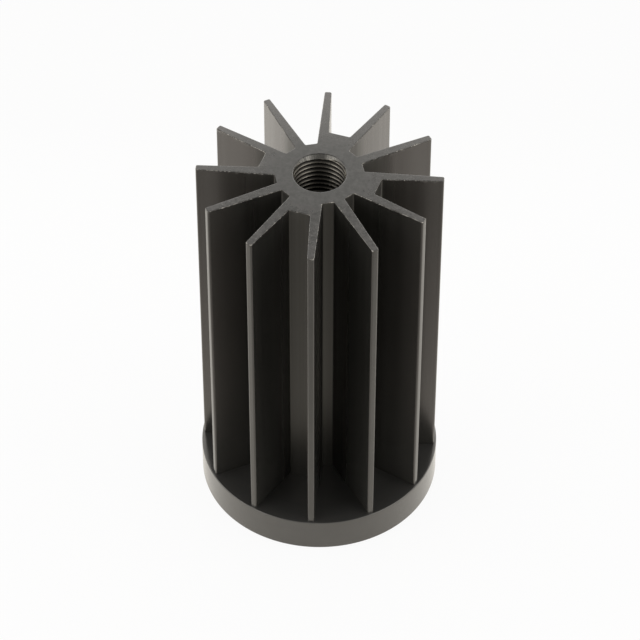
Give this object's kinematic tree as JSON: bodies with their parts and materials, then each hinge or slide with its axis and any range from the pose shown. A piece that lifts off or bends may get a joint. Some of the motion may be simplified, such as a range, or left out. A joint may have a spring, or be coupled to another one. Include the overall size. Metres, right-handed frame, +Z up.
{
  "type": "heat sink",
  "caption": "Round black anodised aluminium heat sink: tapered radial fins on a lobed hub, standing on a disc foot, with a countersunk threaded hole in the hub's top end.",
  "frame": {"origin": "centre of the disc foot's underside", "axes": "+Z up along the part's axis, out of the threaded hole; the shallow slots face +X, +Y, -X and -Y"},
  "size_m": [0.045, 0.045, 0.075],
  "materials": {
    "anodised_aluminium": "satin black anodised, with bare metal at small nicks and in the countersink"
  },
  "bodies": {
    "root": {"heat_sink": "anodised_aluminium"}
  },
  "joints": []
}
